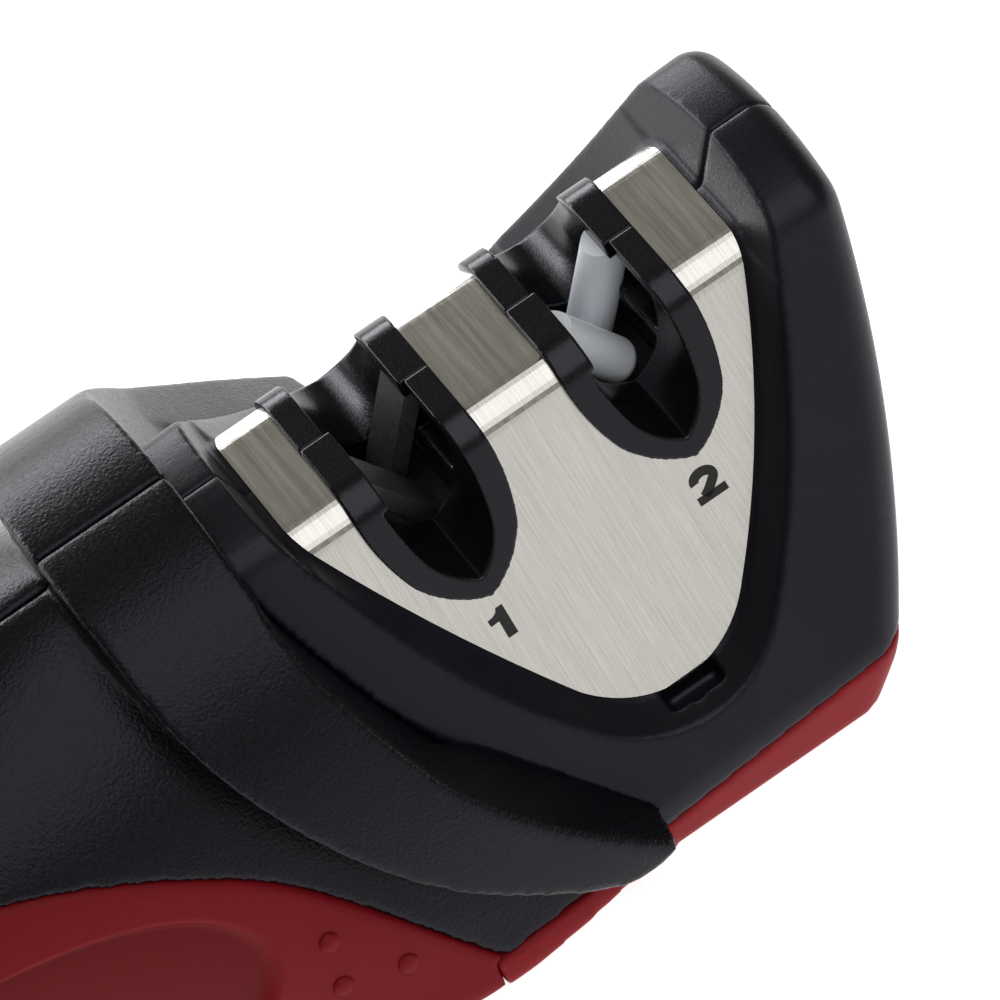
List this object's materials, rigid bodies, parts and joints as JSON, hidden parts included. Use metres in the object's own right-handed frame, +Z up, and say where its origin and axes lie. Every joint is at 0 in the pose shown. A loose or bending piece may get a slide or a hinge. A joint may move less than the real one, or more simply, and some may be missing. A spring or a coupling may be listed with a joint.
{
  "type": "two-stage hand-held edge sharpener",
  "caption": "Hand-held edge sharpener: wedge head with carbide and ceramic slots under a folded steel plate, finger guard, tapered handle with soft grips.",
  "frame": {"origin": "middle of the object's box on the plane that the base rests on", "axes": "+Z up, +X from the handle towards the head's end, the slots run along Y"},
  "size_m": [0.1851, 0.068, 0.0424],
  "materials": {
    "head_shell": "fine moulded grain",
    "handle_shell": "coarse leather-like moulded grain",
    "guide_plastic": "smooth moulded",
    "plate_steel": "brushed across the fold",
    "carbide": "ground",
    "rod_ceramic": "sintered white",
    "carrier_plastic": "as moulded",
    "screw_steel": "bright plated",
    "grip_rubber": "soft-touch satin",
    "pad_rubber": "soft-touch satin"
  },
  "bodies": {
    "root": {"head_shell_front": "head_shell", "head_shell_back": "head_shell", "handle_shell_front": "handle_shell", "handle_shell_back": "handle_shell", "cover_plate": "plate_steel", "coarse_guide_front": "guide_plastic", "coarse_guide_back": "guide_plastic", "fine_guide_front": "guide_plastic", "fine_guide_back": "guide_plastic", "carbide_blade_front": "carbide", "carbide_blade_back": "carbide", "ceramic_rod_front": "rod_ceramic", "ceramic_rod_back": "rod_ceramic", "coarse_carrier": "carrier_plastic", "fine_carrier": "carrier_plastic", "coarse_clamp_screws": "screw_steel", "fine_clamp_screws": "screw_steel", "head_screws": "screw_steel", "handle_screws": "screw_steel", "soft_grip_front": "grip_rubber", "soft_grip_back": "grip_rubber", "base_pad": "pad_rubber"}
  },
  "joints": []
}
